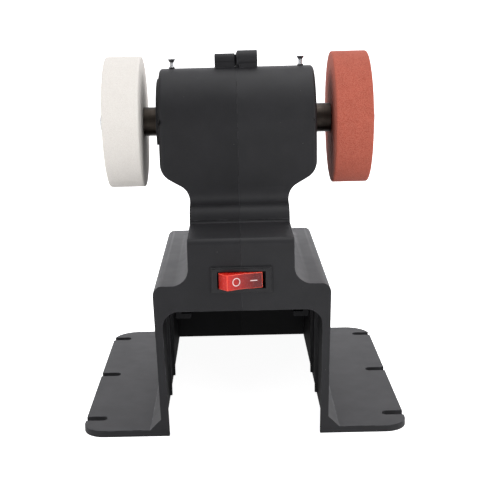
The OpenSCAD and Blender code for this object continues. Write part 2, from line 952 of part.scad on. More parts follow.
// Steel coupler that grips the shaft and carries a wheel, on the side given as -1 or 1
module coupler(side) {
    difference() {
        round_spindle()
            mirror([0, side > 0 ? 0 : 1])
                difference() {
                    union() {
                        translate([0, coupler_start]) square([coupler_radius, wheel_inner_x - coupler_start]);
                        translate([0, wheel_inner_x])
                            square([wheel_bore - slip_fit, spigot_end_x - wheel_inner_x]);
                    }
                    translate([0, coupler_start - 1])
                        square([shaft_radius + slip_fit, shaft_length / 2 + 0.3 - coupler_start + 1]);
                    translate([0, spigot_end_x - clamp_length])
                        square([clamp_radius + running_fit, clamp_length + 1]);
                }
        translate([side * grub_x, spindle_y, spindle_height])
            rotate([grub_angle, 0, 0])
                rotate([-90, 0, 0]) cylinder(r = grub_radius + running_fit, h = coupler_radius + 1);
    }
}

module left_coupler() {
    color([0.3, 0.26, 0.2]) coupler(-1);
}

module right_coupler() {
    color([0.3, 0.26, 0.2]) coupler(1);
}

module coupler_grub_screws() {
    length = coupler_radius - grub_sink - shaft_radius - running_fit;
    color([0.15, 0.15, 0.15])
        for (side = [-1, 1])
            translate([side * grub_x, spindle_y, spindle_height])
                rotate([grub_angle, 0, 0])
                    rotate([-90, 0, 0])
                        translate([0, 0, shaft_radius + running_fit])
                            difference() {
                                cylinder(r = grub_radius, h = length);
                                translate([0, 0, length - 1.2]) cylinder(r = 0.85, h = 2, $fn = 6);
                            }
}

// Wheel on the side given as -1 or 1
module wheel(side) {
    round_spindle()
        mirror([0, side > 0 ? 0 : 1])
            translate([0, wheel_inner_x])
                difference() {
                    union() {
                        translate([0, wheel_edge]) square([wheel_radius, wheel_thickness - 2 * wheel_edge]);
                        square([wheel_radius - wheel_edge, wheel_thickness]);
                        for (end = [wheel_edge, wheel_thickness - wheel_edge])
                            translate([wheel_radius - wheel_edge, end]) circle(wheel_edge);
                    }
                    translate([-1, -1]) square([wheel_bore + 1, wheel_thickness + 2]);
                }
}

module white_wheel() {
    color([0.92, 0.9, 0.86]) wheel(-1);
}

module red_wheel() {
    color([0.72, 0.34, 0.26]) wheel(1);
}

module clamp_washer(side) {
    round_spindle()
        mirror([0, side > 0 ? 0 : 1])
            translate([clamp_radius + 0.2, wheel_outer_x])
                square([washer_radius - clamp_radius - 0.2, washer_thickness]);
}

module left_clamp_washer() {
    color([0.75, 0.75, 0.76]) clamp_washer(-1);
}

module right_clamp_washer() {
    color([0.75, 0.75, 0.76]) clamp_washer(1);
}

module clamp_screws() {
    crown = 1;
    color([0.78, 0.78, 0.8])
        for (side = [-1, 1])
            difference() {
                round_spindle()
                    mirror([0, side > 0 ? 0 : 1])
                        translate([0, washer_outer_x]) {
                            square([clamp_head_radius, clamp_head_height - crown]);
                            square([clamp_head_radius - crown, clamp_head_height]);
                            translate([clamp_head_radius - crown, clamp_head_height - crown]) circle(crown);
                            translate([0, -clamp_reach]) square([clamp_radius, clamp_reach + 1]);
                        }
                translate([side * (clamp_end_x - key_depth), spindle_y, spindle_height])
                    rotate([0, side * 90, 0]) cylinder(r = key_radius, h = 2 * key_depth, $fn = 6);
            }
}

// Switch body behind the panel, with its bezel in front and the rocker's hollow
module switch_frame() {
    back_y = front_y + switch_depth;
    bezel_y = front_y - bezel_thickness;
    edge = 0.8;
    color([0.1, 0.1, 0.1])
        translate([0, 0, switch_height])
            difference() {
                union() {
                    translate([-cutout_length / 2, front_y - 0.5, -cutout_height / 2])
                        cube([cutout_length, switch_depth + 0.5, cutout_height]);
                    translate([-bezel_length / 2, bezel_y + edge, -bezel_height / 2])
                        cube([bezel_length, bezel_thickness - edge, bezel_height]);
                    translate([-bezel_length / 2 + edge, bezel_y, -bezel_height / 2 + edge])
                        cube([bezel_length - 2 * edge, bezel_thickness, bezel_height - 2 * edge]);
                }
                translate([-cavity_half, bezel_y - 1, -window_height / 2])
                    cube([2 * cavity_half, cavity_depth + bezel_thickness + 1, window_height]);
                translate([0, switch_y, 0])
                    cylinder(
                        r = pin_radius + running_fit,
                        h = window_height + 2 * (pin_length + assembly_fit),
                        center = true
                    );
            }
}

// Rocker at its middle place, drawn as depth against width
module rocker_profile() {
    crest_x = crest_radius * sin(rocker_crest);
    crest_y = crest_radius * cos(rocker_crest);
    intersection() {
        circle(rocker_radius);
        polygon([
            [-rocker_radius, rocker_skirt],
            [rocker_radius, rocker_skirt],
            [rocker_radius, 0],
            [crest_x, -crest_y],
            [0, -crest_y + rocker_dip],
            [-crest_x, -crest_y],
            [-rocker_radius, 0]
        ]);
    }
}

module switch_rocker() {
    color([0.85, 0.12, 0.08])
        translate([0, switch_y, switch_height])
            rotate([0, 0, rocker_tilt])
                union() {
                    translate([0, 0, -rocker_height / 2])
                        linear_extrude(rocker_height) rocker_profile();
                    cylinder(r = pin_radius, h = window_height + 2 * pin_length, center = true);
                }
}

module switch_tabs() {
    color([0.8, 0.65, 0.3])
        for (place = [-9, 0, 9])
            translate([place - tab_width / 2, front_y + switch_depth, switch_height - tab_thickness / 2])
                cube([tab_width, tab_length, tab_thickness]);
}

// Room that the slide plate leaves for the switch's body and tabs
module switch_room() {
    room = plate_gap;
    translate([-cutout_length / 2 - room, front_y, switch_height - cutout_height / 2 - room])
        cube([cutout_length + 2 * room, switch_depth + tab_length + room, cutout_height + 2 * room]);
}

// Plate under the block's top, with two hooked rails for the battery pack
module battery_slide() {
    half = rail_span / 2;
    color([0.1, 0.1, 0.11]) {
        difference() {
            translate([-plate_half, plate_front_y, plate_z])
                cube([2 * plate_half, plate_length, plate_thickness]);
            switch_room();
        }
        for (side = [0, 1])
            mirror([side, 0, 0])
                translate([0, rail_front_y, plate_z - rail_height]) {
                    translate([half - rail_web, 0, 0]) cube([rail_web, rail_length, rail_height + 0.1]);
                    translate([half - rail_reach, 0, 0]) cube([rail_reach, rail_length, rail_hook]);
                }
    }
}

// Places a child at the foot of each contact blade, in the block's front face
module at_blades() {
    for (place = [-blade_spread, 0, blade_spread])
        translate([place - blade_thickness / 2, contact_y, plate_z - block_drop + blade_lift]) children();
}

module contact_block() {
    fit = assembly_fit;
    color([0.15, 0.15, 0.16])
        difference() {
            translate([-block_width / 2, contact_y, plate_z - block_drop])
                cube([block_width, block_length, block_drop]);
            at_blades()
                translate([-fit, -1, -fit])
                    cube([blade_thickness + 2 * fit, block_length + 2, blade_height + 2 * fit]);
        }
}

module battery_contacts() {
    color([0.8, 0.65, 0.3])
        at_blades()
            translate([0, -blade_length, 0])
                cube([blade_thickness, blade_length + block_length + blade_tail, blade_height]);
}

left_housing_shell();
right_housing_shell();
housing_screws();
top_screws();
motor_can();
field_magnets();
left_end_cap();
right_end_cap();
left_bearing();
right_bearing();
brush_holders();
carbon_brushes();
motor_tabs();
spindle_shaft();
armature_core();
armature_winding();
commutator();
left_coupler();
right_coupler();
coupler_grub_screws();
white_wheel();
red_wheel();
left_clamp_washer();
right_clamp_washer();
clamp_screws();
switch_frame();
switch_rocker();
switch_tabs();
battery_slide();
contact_block();
battery_contacts();
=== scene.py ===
# %% [markdown]
# # A cordless mini bench grinder
#
# This lesson dresses a small bench grinder. Two moulded plastic halves hold a motor whose
# shaft carries a white wheel on the left and a red one on the right. A battery pack slides
# into the bay between the feet, and a red rocker switch sits on the panel above that bay.
#
# The solids come from a CAD model and stay where they are. Some keep their mesh and only get
# a finish. Others are modelled again here, because the real piece has rounder edges, a thread
# or a surface that is too fine to draw in CAD.

# %% Load the CAD frame
import json
import math

import bmesh
import bpy
from mathutils import Matrix, Vector, noise
from mathutils.bvhtree import BVHTree

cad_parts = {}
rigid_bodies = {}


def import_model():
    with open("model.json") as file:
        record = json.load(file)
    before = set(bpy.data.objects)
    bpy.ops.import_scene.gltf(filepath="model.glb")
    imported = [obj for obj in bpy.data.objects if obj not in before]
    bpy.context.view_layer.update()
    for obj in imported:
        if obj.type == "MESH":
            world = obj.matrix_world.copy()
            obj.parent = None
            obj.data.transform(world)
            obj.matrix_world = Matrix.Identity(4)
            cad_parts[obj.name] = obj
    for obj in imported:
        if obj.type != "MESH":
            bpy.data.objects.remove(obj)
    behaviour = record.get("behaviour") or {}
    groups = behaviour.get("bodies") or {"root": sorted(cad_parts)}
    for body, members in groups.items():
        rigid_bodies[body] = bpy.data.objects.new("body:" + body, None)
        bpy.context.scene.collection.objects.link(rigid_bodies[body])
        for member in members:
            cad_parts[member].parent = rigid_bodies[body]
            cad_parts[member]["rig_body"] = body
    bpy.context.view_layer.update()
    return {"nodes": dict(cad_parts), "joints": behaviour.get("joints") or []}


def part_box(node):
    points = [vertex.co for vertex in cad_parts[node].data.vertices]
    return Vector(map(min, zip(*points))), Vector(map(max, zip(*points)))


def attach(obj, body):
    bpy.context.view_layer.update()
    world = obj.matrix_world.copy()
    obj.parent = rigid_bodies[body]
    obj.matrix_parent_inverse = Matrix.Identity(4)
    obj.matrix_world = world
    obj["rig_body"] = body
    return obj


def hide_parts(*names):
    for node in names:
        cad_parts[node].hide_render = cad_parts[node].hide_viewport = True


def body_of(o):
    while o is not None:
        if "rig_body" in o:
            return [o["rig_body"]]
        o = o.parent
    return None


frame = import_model()
nodes = frame["nodes"]
MM = 0.001

# %% [markdown]
# ## Places
#
# Everything that turns is centred on the spindle, and everything that tilts is centred on the
# rocker's pins. The frame gives both axes, so no place has to be typed in twice. It also says
# which body each node rides on, and the pieces that are made here take it from the node that
# they stand for.

# %% Find the spindle, the switch and the bodies
joints = {joint["name"]: joint for joint in frame["joints"]}
SPINDLE = Vector(joints["spindle_spin"]["pos_m"])
ROCKER = Vector(joints["rocker_press"]["pos_m"])
SIDES = {"left": -1, "right": 1}
BODIES = {name: body_of(node)[0] for name, node in nodes.items()}
print("spindle axis at", SPINDLE, "rocker pins at", ROCKER)

# %% [markdown]
# ## Small helpers for finishes
#
# A finish is a tree of shader nodes. Each one here starts from a single Principled shader,
# and reads Object coordinates, which are metres on the part itself. A grain of 0.3 mm is then
# written as 0.3 mm, and it sticks to the piece when the piece turns.

# %% Start a material
def new_material(name):
    """Makes a material with one Principled shader and returns the material, tree and shader."""
    material = bpy.data.materials.new(name)
    material.use_nodes = True
    tree = material.node_tree
    tree.nodes.clear()
    output = tree.nodes.new("ShaderNodeOutputMaterial")
    shader = tree.nodes.new("ShaderNodeBsdfPrincipled")
    tree.links.new(shader.outputs["BSDF"], output.inputs["Surface"])
    return material, tree, shader


def list_finishes(kind, *finishes):
    """Prints the names of some finished materials."""
    print(kind + ":", ", ".join(finish.name for finish in finishes))


# %% Read the place on the piece
def place_in_grains(tree, size, stretch=(1, 1, 1)):
    """Object coordinates divided by a grain size in metres, and stretched along the axes."""
    place = tree.nodes.new("ShaderNodeTexCoord")
    mapping = tree.nodes.new("ShaderNodeMapping")
    mapping.inputs["Scale"].default_value = [part / size for part in stretch]
    tree.links.new(place.outputs["Object"], mapping.inputs["Vector"])
    return mapping.outputs["Vector"]


def place_along(tree, axis):
    """The X, Y or Z of the place on the piece, in metres."""
    place = tree.nodes.new("ShaderNodeTexCoord")
    parts = tree.nodes.new("ShaderNodeSeparateXYZ")
    tree.links.new(place.outputs["Object"], parts.inputs["Vector"])
    return parts.outputs[axis]


# %% Cloudy and grainy patterns
def cloud(tree, size, detail=2.0, stretch=(1, 1, 1)):
    """Noise with spots about as wide as size."""
    texture = tree.nodes.new("ShaderNodeTexNoise")
    texture.inputs["Scale"].default_value = 1.0
    texture.inputs["Detail"].default_value = detail
    tree.links.new(place_in_grains(tree, size, stretch), texture.inputs["Vector"])
    return texture.outputs["Fac"]


def grit(tree, size):
    """Distance to the nearest of many scattered points, which looks like bonded grit."""
    texture = tree.nodes.new("ShaderNodeTexVoronoi")
    texture.inputs["Scale"].default_value = 1.0
    tree.links.new(place_in_grains(tree, size), texture.inputs["Vector"])
    return texture.outputs["Distance"]


# %% Turn a pattern into numbers
# Noise hardly ever leaves this middle part of its range from 0 to 1.
NOISE_LOW = 0.3
NOISE_HIGH = 0.7


def span(tree, factor, low, high, start=NOISE_LOW, end=NOISE_HIGH):
    """Spreads a pattern between start and end over the values from low to high."""
    node = tree.nodes.new("ShaderNodeMapRange")
    for socket, value in (("From Min", start), ("From Max", end), ("To Min", low), ("To Max", high)):
        node.inputs[socket].default_value = value
    tree.links.new(factor, node.inputs["Value"])
    return node.outputs["Result"]


def join_numbers(tree, operation, first, second):
    """Adds or multiplies two patterns, or takes the larger of them."""
    node = tree.nodes.new("ShaderNodeMath")
    node.operation = operation
    tree.links.new(first, node.inputs[0])
    tree.links.new(second, node.inputs[1])
    return node.outputs["Value"]


# %% Turn a pattern into colours
def colours(tree, factor, stops):
    """A colour ramp over a pattern. Each stop is a place from 0 to 1 and a linear colour."""
    ramp = tree.nodes.new("ShaderNodeValToRGB")
    elements = ramp.color_ramp.elements
    while len(elements) < len(stops):
        elements.new(0.5)
    for element, (place, colour) in zip(elements, stops):
        element.position = place
        element.color = (*colour, 1)
    tree.links.new(factor, ramp.inputs["Fac"])
    return ramp.outputs["Color"]


def two_tones(tree, pattern, dark, light):
    """A noise pattern as a run from one colour to another."""
    return colours(tree, pattern, [(NOISE_LOW, dark), (NOISE_HIGH, light)])


def over(tree, factor, under, colour, how="MIX"):
    """Lays a colour over another one where the factor is 1, or multiplies them."""
    node = tree.nodes.new("ShaderNodeMix")
    node.data_type = "RGBA"
    node.blend_type = how
    tree.links.new(factor, node.inputs["Factor"])
    tree.links.new(under, node.inputs["A"])
    if isinstance(colour, tuple):
        node.inputs["B"].default_value = (*colour, 1)
    else:
        tree.links.new(colour, node.inputs["B"])
    return node.outputs["Result"]


# %% Plain greys and tints
def grey(value):
    """A grey with the same red, green and blue."""
    return (value,) * 3


def tinted(colour, factor):
    """A colour made darker or lighter by a factor, at most white."""
    return tuple(min(1.0, part * factor) for part in colour)


# %% Relief and soft edges
def relief(tree, height, depth, normal=None, strength=1.0):
    """Bump of a depth in metres, laid over an earlier normal if there is one."""
    node = tree.nodes.new("ShaderNodeBump")
    node.inputs["Distance"].default_value = depth
    node.inputs["Strength"].default_value = strength
    tree.links.new(height, node.inputs["Height"])
    if normal is not None:
        tree.links.new(normal, node.inputs["Normal"])
    return node.outputs["Normal"]


def soft_edge(tree, radius):
    """Shades the sharp edges of a CAD mesh as if they had this radius."""
    node = tree.nodes.new("ShaderNodeBevel")
    node.samples = 8
    node.inputs["Radius"].default_value = radius
    return node.outputs["Normal"]


# %% Marked edges, for wear and painted highlights
# Rounded faces carry this mark. Finishes read it for wear and for painted highlights on the edges.
EDGE_MARK = "worn"
EDGE_PATCH_START = 0.45
EDGE_PATCH_END = 0.6


def rounded_edges(tree):
    """The mark on the faces that rounding made: 1 on an edge, more on the seam, else 0."""
    mark = tree.nodes.new("ShaderNodeAttribute")
    mark.attribute_name = EDGE_MARK
    return mark.outputs["Fac"]


def patchy_edges(tree, patch_size):
    """The mark of the rounded edges on some stretches of them, and 0 elsewhere."""
    patches = span(tree, cloud(tree, patch_size, detail=4), 0, 1, EDGE_PATCH_START, EDGE_PATCH_END)
    return join_numbers(tree, "MULTIPLY", rounded_edges(tree), patches)


# %% [markdown]
# ## Moulded plastic
#
# The housing is dark grey glass-filled nylon from an etched mould. The etching leaves a fine
# satin grain that spreads reflections wide, and the flow of the plastic leaves soft clouds in
# the gloss. Stretches of the edges are paler and smoother, partly as rubbing from handling and
# partly as a painted highlight, and the seam carries a painted highlight line. Handling also
# leaves a little pale dust. Elsewhere the colour hardly changes, so most of the look is in the
# roughness and the relief. The right half is a little lighter and rougher than the left.

# %% Satin plastic
PLASTIC_DARK = 0.88
PLASTIC_LIGHT = 1.12
# How much paler a marked edge is: partly rubbing, partly a painted highlight.
PLASTIC_EDGE_WEAR_AND_SHEEN = 2.4
PALE_DUST = (0.22, 0.22, 0.21)
ETCH_DEPTH = 0.010 * MM
FLOW_DEPTH = 0.02 * MM
PLASTIC_IOR = 1.48


def plastic(name, colour, gloss, grain_size=0.32 * MM, edge=0.0, dust=0.5, shine=0.5):
    """Satin moulded plastic with an etched grain, a few dust specks and paler edges, partly rubbed and
    partly a painted highlight.
    """
    material, tree, shader = new_material(name)
    dark = tinted(colour, PLASTIC_DARK)
    light = tinted(colour, PLASTIC_LIGHT)
    body = two_tones(tree, cloud(tree, 14 * MM, detail=3), dark, light)
    fine = two_tones(tree, cloud(tree, 0.5 * MM, detail=2), grey(0.86), grey(1.0))
    body = over(tree, span(tree, cloud(tree, 4 * MM), 0.8, 1.0), body, fine, "MULTIPLY")
    # Paler edges, partly rubbing and partly a painted highlight, with a painted highlight line on the
    # seam.
    body = over(tree, patchy_edges(tree, 5 * MM), body, tinted(colour, PLASTIC_EDGE_WEAR_AND_SHEEN))
    specks = span(tree, grit(tree, 6.5 * MM), dust, 0, 0.012, 0.03)
    tree.links.new(over(tree, specks, body, PALE_DUST), shader.inputs["Base Color"])
    satin = span(tree, cloud(tree, 9 * MM), gloss - 0.015, gloss + 0.02)
    polish = span(tree, patchy_edges(tree, 8 * MM), 1.0, 0.8, 0, 1)
    tree.links.new(join_numbers(tree, "MULTIPLY", satin, polish), shader.inputs["Roughness"])
    start = soft_edge(tree, edge) if edge else None
    etched = relief(tree, cloud(tree, grain_size, detail=1), ETCH_DEPTH, start)
    tree.links.new(relief(tree, cloud(tree, 5 * MM), FLOW_DEPTH, etched), shader.inputs["Normal"])
    shader.inputs["IOR"].default_value = PLASTIC_IOR
    shader.inputs["Specular IOR Level"].default_value = shine
    return material


# %% Housing, slide and switch plastics
left_plastic = plastic("left housing plastic", (0.0150, 0.0150, 0.0166), 0.50, shine=0.24)
right_plastic = plastic("right housing plastic", (0.0166, 0.0166, 0.0182), 0.52, shine=0.28)
# The slide and the contact carrier are made far darker than the housing, a painted shade for their place
# deep in the bay.
shaded_slide_plastic = plastic("slide plastic", (0.0030, 0.0030, 0.0036), 0.50, dust=0.2, shine=0.12)
switch_plastic = plastic(
    "switch plastic", (0.0100, 0.0100, 0.0112), 0.42, grain_size=0.2 * MM, shine=0.36
)
list_finishes("plastics", left_plastic, right_plastic, shaded_slide_plastic, switch_plastic)

# %% [markdown]
# ## Wheel finishes
#
# Both wheels are bonded abrasive. Seen close up, the red one is coarse grit in a brick-red
# bond with dark pores between the grains, and the white one is finer and closed. Grit is a
# Voronoi pattern: each cell is a grain, and the gaps between cells are pores. Larger clouds
# make the bond a little darker in patches.

# %% Bonded abrasive
def abrasive(name, bond, grain, pore, grain_size, depth, patch):
    """Bonded grit: a bond colour, lighter grains and darker pores, all with relief."""
    material, tree, shader = new_material(name)
    cells = grit(tree, grain_size)
    tone = colours(tree, cells, [(0.05, grain), (0.42, bond), (0.90, pore)])
    all_over = span(tree, cells, 0.9, 1.0)
    for size, detail in ((6 * MM, 5), (1.3 * MM, 3)):
        patches = two_tones(tree, cloud(tree, size, detail), grey(patch), grey(1.0))
        tone = over(tree, all_over, tone, patches, "MULTIPLY")
    stray = span(tree, grit(tree, 2.6 * MM), 0.5, 0, 0.05, 0.11)
    tree.links.new(over(tree, stray, tone, grain), shader.inputs["Base Color"])
    tree.links.new(span(tree, cells, 0.74, 0.95, 0.1, 0.8), shader.inputs["Roughness"])
    uneven = relief(tree, cloud(tree, 2.5 * MM, detail=5), depth * 2, strength=0.6)
    tree.links.new(relief(tree, cells, depth, uneven, strength=0.8), shader.inputs["Normal"])
    shader.inputs["Specular IOR Level"].default_value = 0.3
    return material


# %% Red and white grit
red_grit = abrasive(
    "red grit", bond=(0.490, 0.120, 0.076), grain=(0.56, 0.185, 0.128), pore=(0.39, 0.082, 0.054),
    grain_size=0.42 * MM, depth=0.03 * MM, patch=0.90,
)
white_grit = abrasive(
    "white grit", bond=(0.77, 0.74, 0.69), grain=(0.83, 0.81, 0.77), pore=(0.67, 0.63, 0.58),
    grain_size=0.24 * MM, depth=0.02 * MM, patch=0.97,
)
list_finishes("wheel finishes", red_grit, white_grit)

# %% [markdown]
# ## Metals
#
# The couplers are turned steel with a brownish oil finish, so fine rings run round them. The
# clamp screws and washers are zinc plated. The two proud screws are plated too, but the tops
# of their heads have gone dull, so their finish changes at the height where the rim starts.
# Inside the housing there are plated, ground, copper and brass pieces, which only show
# through the gaps, but they get a finish all the same.

# %% Metal with a grain
METAL_RUBBED = 1.6
METAL_RELIEF = 0.004 * MM
DULL_METAL = (0.09, 0.092, 0.096)
DULL_ROUGHER = 0.24
DULL_BORDER = 0.05 * MM


def metal(name, dark, light, gloss, grain_size=0.8 * MM, stretch=(1, 1, 1), dull_above=None):
    """Metal whose colour, gloss and relief vary with a grain. It can be dull above a height."""
    material, tree, shader = new_material(name)
    shader.inputs["Metallic"].default_value = 1.0
    lines = cloud(tree, grain_size, detail=3, stretch=stretch)
    tone = two_tones(tree, lines, dark, light)
    tone = over(tree, patchy_edges(tree, 3 * MM), tone, tinted(light, METAL_RUBBED))
    rough = span(tree, cloud(tree, 3 * MM), gloss - 0.06, gloss + 0.08)
    if dull_above is not None:
        dull = span(tree, place_along(tree, "Z"), 0, 1, dull_above, dull_above + DULL_BORDER)
        tone = over(tree, dull, tone, DULL_METAL)
        rough = join_numbers(tree, "ADD", rough, span(tree, dull, 0, DULL_ROUGHER, 0, 1))
    tree.links.new(tone, shader.inputs["Base Color"])
    tree.links.new(rough, shader.inputs["Roughness"])
    tree.links.new(relief(tree, lines, METAL_RELIEF), shader.inputs["Normal"])
    return material


# %% Steels
ROUND_THE_SPINDLE = (6, 0.02, 0.02)
ACROSS_THE_SPINDLE = (1, 0.01, 0.01)
oiled_steel = metal(
    "oiled steel", (0.034, 0.028, 0.024), (0.070, 0.059, 0.050), 0.38, stretch=ROUND_THE_SPINDLE
)
ground_steel = metal(
    "ground steel", (0.50, 0.50, 0.51), (0.66, 0.66, 0.67), 0.24, stretch=ROUND_THE_SPINDLE
)
can_steel = metal(
    "plated can", (0.40, 0.40, 0.41), (0.55, 0.55, 0.57), 0.32, stretch=ROUND_THE_SPINDLE
)
core_steel = metal(
    "stacked sheet steel", (0.20, 0.20, 0.21), (0.42, 0.42, 0.44), 0.42,
    grain_size=0.5 * MM, stretch=ACROSS_THE_SPINDLE,
)
black_oxide = metal("black oxide", (0.035, 0.035, 0.037), (0.07, 0.07, 0.072), 0.38)
list_finishes("steels", oiled_steel, ground_steel, can_steel, core_steel, black_oxide)

# %% Plating, copper and brass
SCREW_RIM = 0.35 * MM
rim_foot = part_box("top_screws")[1][2] - SCREW_RIM
zinc = metal("zinc plate", (0.38, 0.39, 0.40), (0.58, 0.59, 0.61), 0.22)
screw_zinc = metal(
    "handled zinc", (0.42, 0.43, 0.44), (0.66, 0.67, 0.69), 0.22,
    grain_size=0.5 * MM, dull_above=rim_foot,
)
copper = metal("enamelled copper", (0.42, 0.13, 0.045), (0.62, 0.22, 0.09), 0.28, 0.4 * MM)
brass = metal("contact brass", (0.55, 0.38, 0.13), (0.74, 0.55, 0.22), 0.27)
list_finishes("platings and soft metals", zinc, screw_zinc, copper, brass)

# %% [markdown]
# ## Inner pieces that aren't metal
#
# The magnets are ceramic, the brushes are pressed carbon and the end caps are enamelled. They
# keep their sharp CAD mesh, so their finish also shades the edges as if they were rounded.

# %% Magnets, brushes and end caps
magnet_ceramic = plastic("magnet ceramic", (0.045, 0.045, 0.05), 0.62, edge=0.2 * MM)
brush_carbon = plastic("brush carbon", (0.014, 0.014, 0.015), 0.5, edge=0.1 * MM)
cap_enamel = plastic("cap enamel", (0.05, 0.05, 0.052), 0.36, edge=0.3 * MM)
list_finishes("inner finishes", magnet_ceramic, brush_carbon, cap_enamel)

# %% [markdown]
# ## Switch finishes
#
# The rocker is clear red plastic over a lamp holder. Its colour is painted light and shade:
# bright red on its left side, which stands out, and deeper red towards the right side, which is
# pressed in. Its top carries painted light, and its polished edges a painted highlight. The
# lens pattern inside shows as a faint pink weave. A little scattering under the surface and a
# thin clear coat give it depth. Its two marks are white paint.

# %% Clear red plastic
ROCKER_REACH = 12 * MM
ROCKER_TOP = ROCKER.z + 4 * MM
# Painted light and shade along the rocker: bright red on the left side, deeper red to the right.
ROCKER_PAINTED_LIGHT_TO_SHADE = [
    (0.0, (0.24, 0.006, 0.003)),
    (0.12, (0.62, 0.014, 0.005)),
    (0.22, (0.58, 0.014, 0.008)),
    (0.45, (0.35, 0.012, 0.010)),
    (0.80, (0.12, 0.008, 0.008)),
    (1.0, (0.14, 0.009, 0.010)),
]
LENS_PINK = (0.50, 0.15, 0.15)
# Painted light on the rocker's top.
PAINTED_TOP_LIGHT_RED = (0.80, 0.020, 0.012)
# Painted highlight on the rocker's rounded edges.
PAINTED_EDGE_HIGHLIGHT_RED = (0.95, 0.13, 0.075)


def rocker_plastic():
    """Clear red plastic with painted light on its left side and top, painted shade to the right and
    painted highlights on its edges.
    """
    material, tree, shader = new_material("rocker red")
    # The red runs from painted light on the left to painted shade on the right.
    along = span(tree, place_along(tree, "X"), 0, 1, -ROCKER_REACH, ROCKER_REACH)
    tone = colours(tree, along, ROCKER_PAINTED_LIGHT_TO_SHADE)
    weave = cloud(tree, 0.55 * MM, detail=1)
    tone = over(tree, span(tree, weave, 0, 0.10, 0.45, 0.65), tone, LENS_PINK)
    # Painted light on the top of the rocker.
    top = span(tree, place_along(tree, "Z"), 0.0, 0.8, ROCKER_TOP - 0.3 * MM, ROCKER_TOP)
    tone = over(tree, top, tone, PAINTED_TOP_LIGHT_RED)
    # Painted highlight on the rounded edges.
    painted_edge_highlight = span(tree, rounded_edges(tree), 0.0, 0.6, 0, 1)
    tree.links.new(over(tree, painted_edge_highlight, tone, PAINTED_EDGE_HIGHLIGHT_RED), shader.inputs["Base Color"])
    tree.links.new(span(tree, cloud(tree, 1.2 * MM), 0.20, 0.30), shader.inputs["Roughness"])
    tree.links.new(relief(tree, weave, 0.006 * MM), shader.inputs["Normal"])
    shader.inputs["Subsurface Weight"].default_value = 0.3
    shader.inputs["Subsurface Radius"].default_value = (1.0, 0.12, 0.06)
    shader.inputs["Subsurface Scale"].default_value = 1.5 * MM
    shader.inputs["Specular IOR Level"].default_value = 0.3
    shader.inputs["Coat Weight"].default_value = 0.08
    shader.inputs["Coat Roughness"].default_value = 0.1
    return material


# %% Rocker and its paint
rocker_red = rocker_plastic()
mark_paint = plastic("mark paint", (0.78, 0.62, 0.60), 0.5, dust=0.0)
list_finishes("switch finishes", rocker_red, mark_paint)

# %% [markdown]
# ## Pieces and soft copies
#
# A sharp edge never catches the light, and no moulded or machined edge is truly sharp. A soft
# copy takes a CAD node's triangles, merges them into whole faces and rounds every edge that
# turns by more than 30 degrees. The rounding only cuts inwards, so the size stays. The new
# faces are marked in an attribute, which the finishes read to make those edges paler and
# smoother, as wear and as a painted highlight. The seam between the two shells gets a smaller
# radius and a stronger mark, which paints a highlight line along it.

# %% Put a shape in the scene
def add_object(name, shape, finish):
    """Makes an object with one finish from a bmesh, which is freed."""
    mesh = bpy.data.meshes.new(name)
    shape.to_mesh(mesh)
    shape.free()
    mesh.materials.append(finish)
    thing = bpy.data.objects.new(name, mesh)
    bpy.context.scene.collection.objects.link(thing)
    return thing


def make_piece(name, shape, finish, *replaced):
    """Makes a smooth piece. It rides with the first CAD node that it stands for."""
    piece = add_object(name, shape, finish)
    piece.data.shade_smooth()
    even = piece.modifiers.new("even shading", "WEIGHTED_NORMAL")
    even.keep_sharp = True
    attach(piece, BODIES[replaced[0]])
    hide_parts(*replaced)
    print(name, "has", len(piece.data.polygons), "faces")
    return piece


# %% Copy a CAD node and merge its triangles
def merged_copy(node_name):
    """A CAD node's triangles, merged into whole faces."""
    shape = bmesh.new()
    shape.from_mesh(nodes[node_name].data)
    bmesh.ops.remove_doubles(shape, verts=shape.verts, dist=0.002 * MM)
    bmesh.ops.dissolve_limit(
        shape, angle_limit=math.radians(0.5), verts=shape.verts, edges=shape.edges,
        use_dissolve_boundaries=False, delimit=set(),
    )
    return shape


# %% Round its edges
EDGE_TURN = math.radians(30)
# Edge mark strength, which finishes turn into paler edges: partly wear, partly a painted highlight.
EDGE_WEAR_AND_SHEEN = 1.0
SEAM_TURN = math.radians(60)
# The seam's stronger mark paints a highlight line along the seam.
SEAM_PAINTED_SHEEN = 3.0
SEAM_RADIUS = 0.12 * MM


def on_the_seam(edge):
    """True for an edge in the plane where the two shells meet."""
    return all(abs(vertex.co.x) < 0.005 * MM for vertex in edge.verts)


def round_edges(shape, radius, segments=2):
    """Rounds the sharp edges of a shape, then those on the seam, and marks the new faces."""
    worn = shape.faces.layers.float.new(EDGE_MARK)
    rounds = ((False, EDGE_TURN, radius, EDGE_WEAR_AND_SHEEN), (True, SEAM_TURN, SEAM_RADIUS, SEAM_PAINTED_SHEEN))
    for seam, turn, size, wear in rounds:
        sharp = [edge for edge in shape.edges if edge.is_manifold and edge.calc_face_angle() > turn]
        chosen = [edge for edge in sharp if on_the_seam(edge) == seam]
        rounded = bmesh.ops.bevel(
            shape, geom=chosen, offset=size, offset_type="OFFSET", segments=segments, profile=0.5,
            affect="EDGES", clamp_overlap=False, loop_slide=True, material=-1,
        )
        # The mark becomes paler edges, partly wear and partly a painted highlight, and a painted
        # highlight line on the seam.
        for face in rounded["faces"]:
            face[worn] = wear


def soft_copy(piece_name, node_name, radius, finish, segments=2):
    """A piece with rounded edges that stands for one CAD node."""
    shape = merged_copy(node_name)
    round_edges(shape, radius, segments)
    return make_piece(piece_name, shape, finish, node_name)


# %% [markdown]
# ## Housing and battery slide
#
# The two shells are mirror images apart from the boss on top. Moulded edges of this size have
# a radius of about 0.3 mm, which shows as a thin bright line along the panel and the mouth of
# the bay, helped in stretches by a painted highlight on the edges. The left half of the top
# boss ends just before the seam, because its screw pulls the halves together. A lip inside the
# boss reaches across, so no light shows through that gap.

